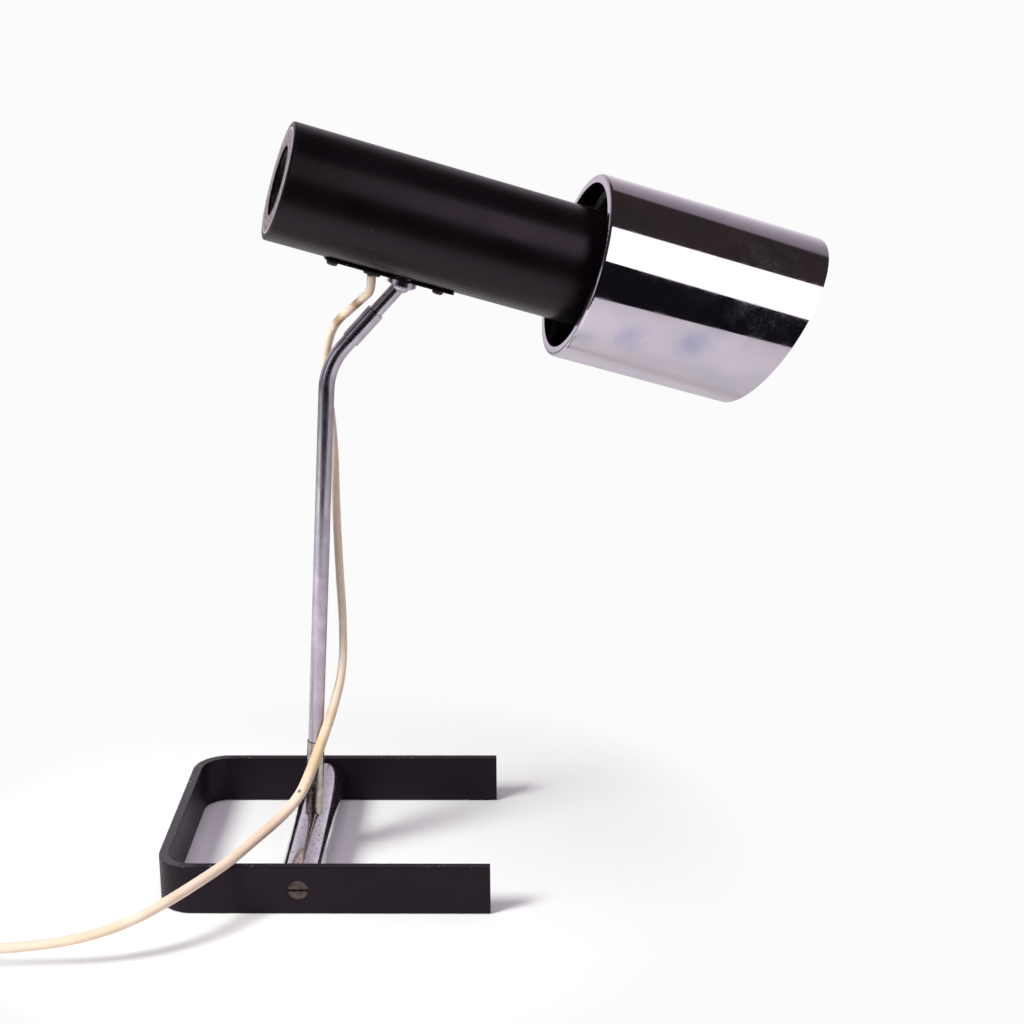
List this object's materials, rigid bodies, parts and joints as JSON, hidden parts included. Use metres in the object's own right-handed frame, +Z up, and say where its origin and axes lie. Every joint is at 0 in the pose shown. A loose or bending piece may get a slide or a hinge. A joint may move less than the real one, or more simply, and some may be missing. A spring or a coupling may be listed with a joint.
{
  "type": "reading lamp",
  "caption": "Desk reading lamp: black U-shaped bar base, tilting chromed stem with a bend, black tubular head on a ball joint, chromed shade with an oblique mouth, pale flat cord.",
  "frame": {"origin": "on the table, at the middle of the pad under the closed end of the base bow", "axes": "+Z up, +X from the closed end towards the open end of the base, +Y towards the arm that is further from the viewer in the picture"},
  "size_m": [0.583, 0.2214, 0.3856],
  "materials": {
    "black_lacquer": "satin",
    "tube_lacquer": "black lacquer",
    "pad_rubber": "matte",
    "friction_fibre": "matte",
    "chrome": "polished",
    "worn_nickel": "worn",
    "screw_steel": "worn",
    "brass": "satin",
    "zinc_steel": "satin",
    "ring_aluminium": "satin",
    "gland_rubber": "matte",
    "cord_pvc": "satin",
    "lead_pvc": "satin",
    "block_plastic": "satin",
    "bakelite": "gloss",
    "ceramic": "glazed",
    "bulb_glass": "clear",
    "ivory_plastic": "gloss",
    "rocker_brown": "gloss"
  },
  "bodies": {
    "base": {"base_bow": "black_lacquer", "base_pads": "pad_rubber", "friction_washers": "friction_fibre", "cord_floor_run": "cord_pvc", "switch_lower": "ivory_plastic", "switch_upper": "ivory_plastic", "switch_screw": "screw_steel", "cord_switch_tail": "cord_pvc", "cord_coil": "cord_pvc", "cord_plug_tail": "cord_pvc", "plug_body": "ivory_plastic", "plug_pins": "brass"},
    "stem": {"cross_bar": "chrome", "pivot_screws": "screw_steel", "foot_grub_screw": "screw_steel", "stem_rod": "chrome", "foot_sleeve": "worn_nickel", "top_sleeve": "chrome", "cord_stem_run": "cord_pvc"},
    "stud": {"ball_stud": "chrome"},
    "head": {"ball_socket": "chrome", "socket_plug": "screw_steel", "socket_nut": "brass", "underside_plate": "black_lacquer", "plate_screws": "screw_steel", "inner_bracket": "zinc_steel", "head_tube": "tube_lacquer", "rear_ring": "ring_aluminium", "cord_gland": "gland_rubber", "terminal_block": "block_plastic", "terminal_screws": "screw_steel", "inner_cord": "cord_pvc", "inner_leads": "lead_pvc", "holder_nipple": "brass", "nipple_nut": "brass", "holder_cap": "bakelite", "holder_insert": "ceramic", "centre_contact": "brass", "side_contacts": "brass", "holder_shell": "bakelite", "shade_carrier": "zinc_steel", "shade_ring": "bakelite", "shade": "chrome", "bulb_cap": "brass", "bulb_insulator": "ceramic", "bulb_glass": "bulb_glass", "cord_head_run": "cord_pvc"},
    "rocker": {"switch_rocker": "rocker_brown"}
  },
  "joints": [
    {"name": "stem_tilt", "type": "hinge", "parent": "base", "child": "stem", "pos_m": [0.0695, 0, 0.0131], "axis": [0, 1, 0], "range_deg": [-28, 22], "deforming": ["cord_floor_run"]},
    {"name": "head_swivel", "type": "hinge", "parent": "stem", "child": "stud", "pos_m": [0.12322, 0, 0.30627], "axis": [0.6794, 0, 0.7337], "range_deg": [-90, 90], "deforming": ["cord_stem_run"]},
    {"name": "head_tilt", "type": "hinge", "parent": "stud", "child": "head", "pos_m": [0.12322, 0, 0.30627], "axis": [-0.213, 0.977, 0], "range_deg": [-8, 50], "deforming": ["cord_head_run"]},
    {"name": "rocker_tip", "type": "hinge", "parent": "base", "child": "rocker", "pos_m": [-0.119, -0.122, 0.0131], "axis": [0, 1, 0], "range_deg": [0, 14]}
  ]
}
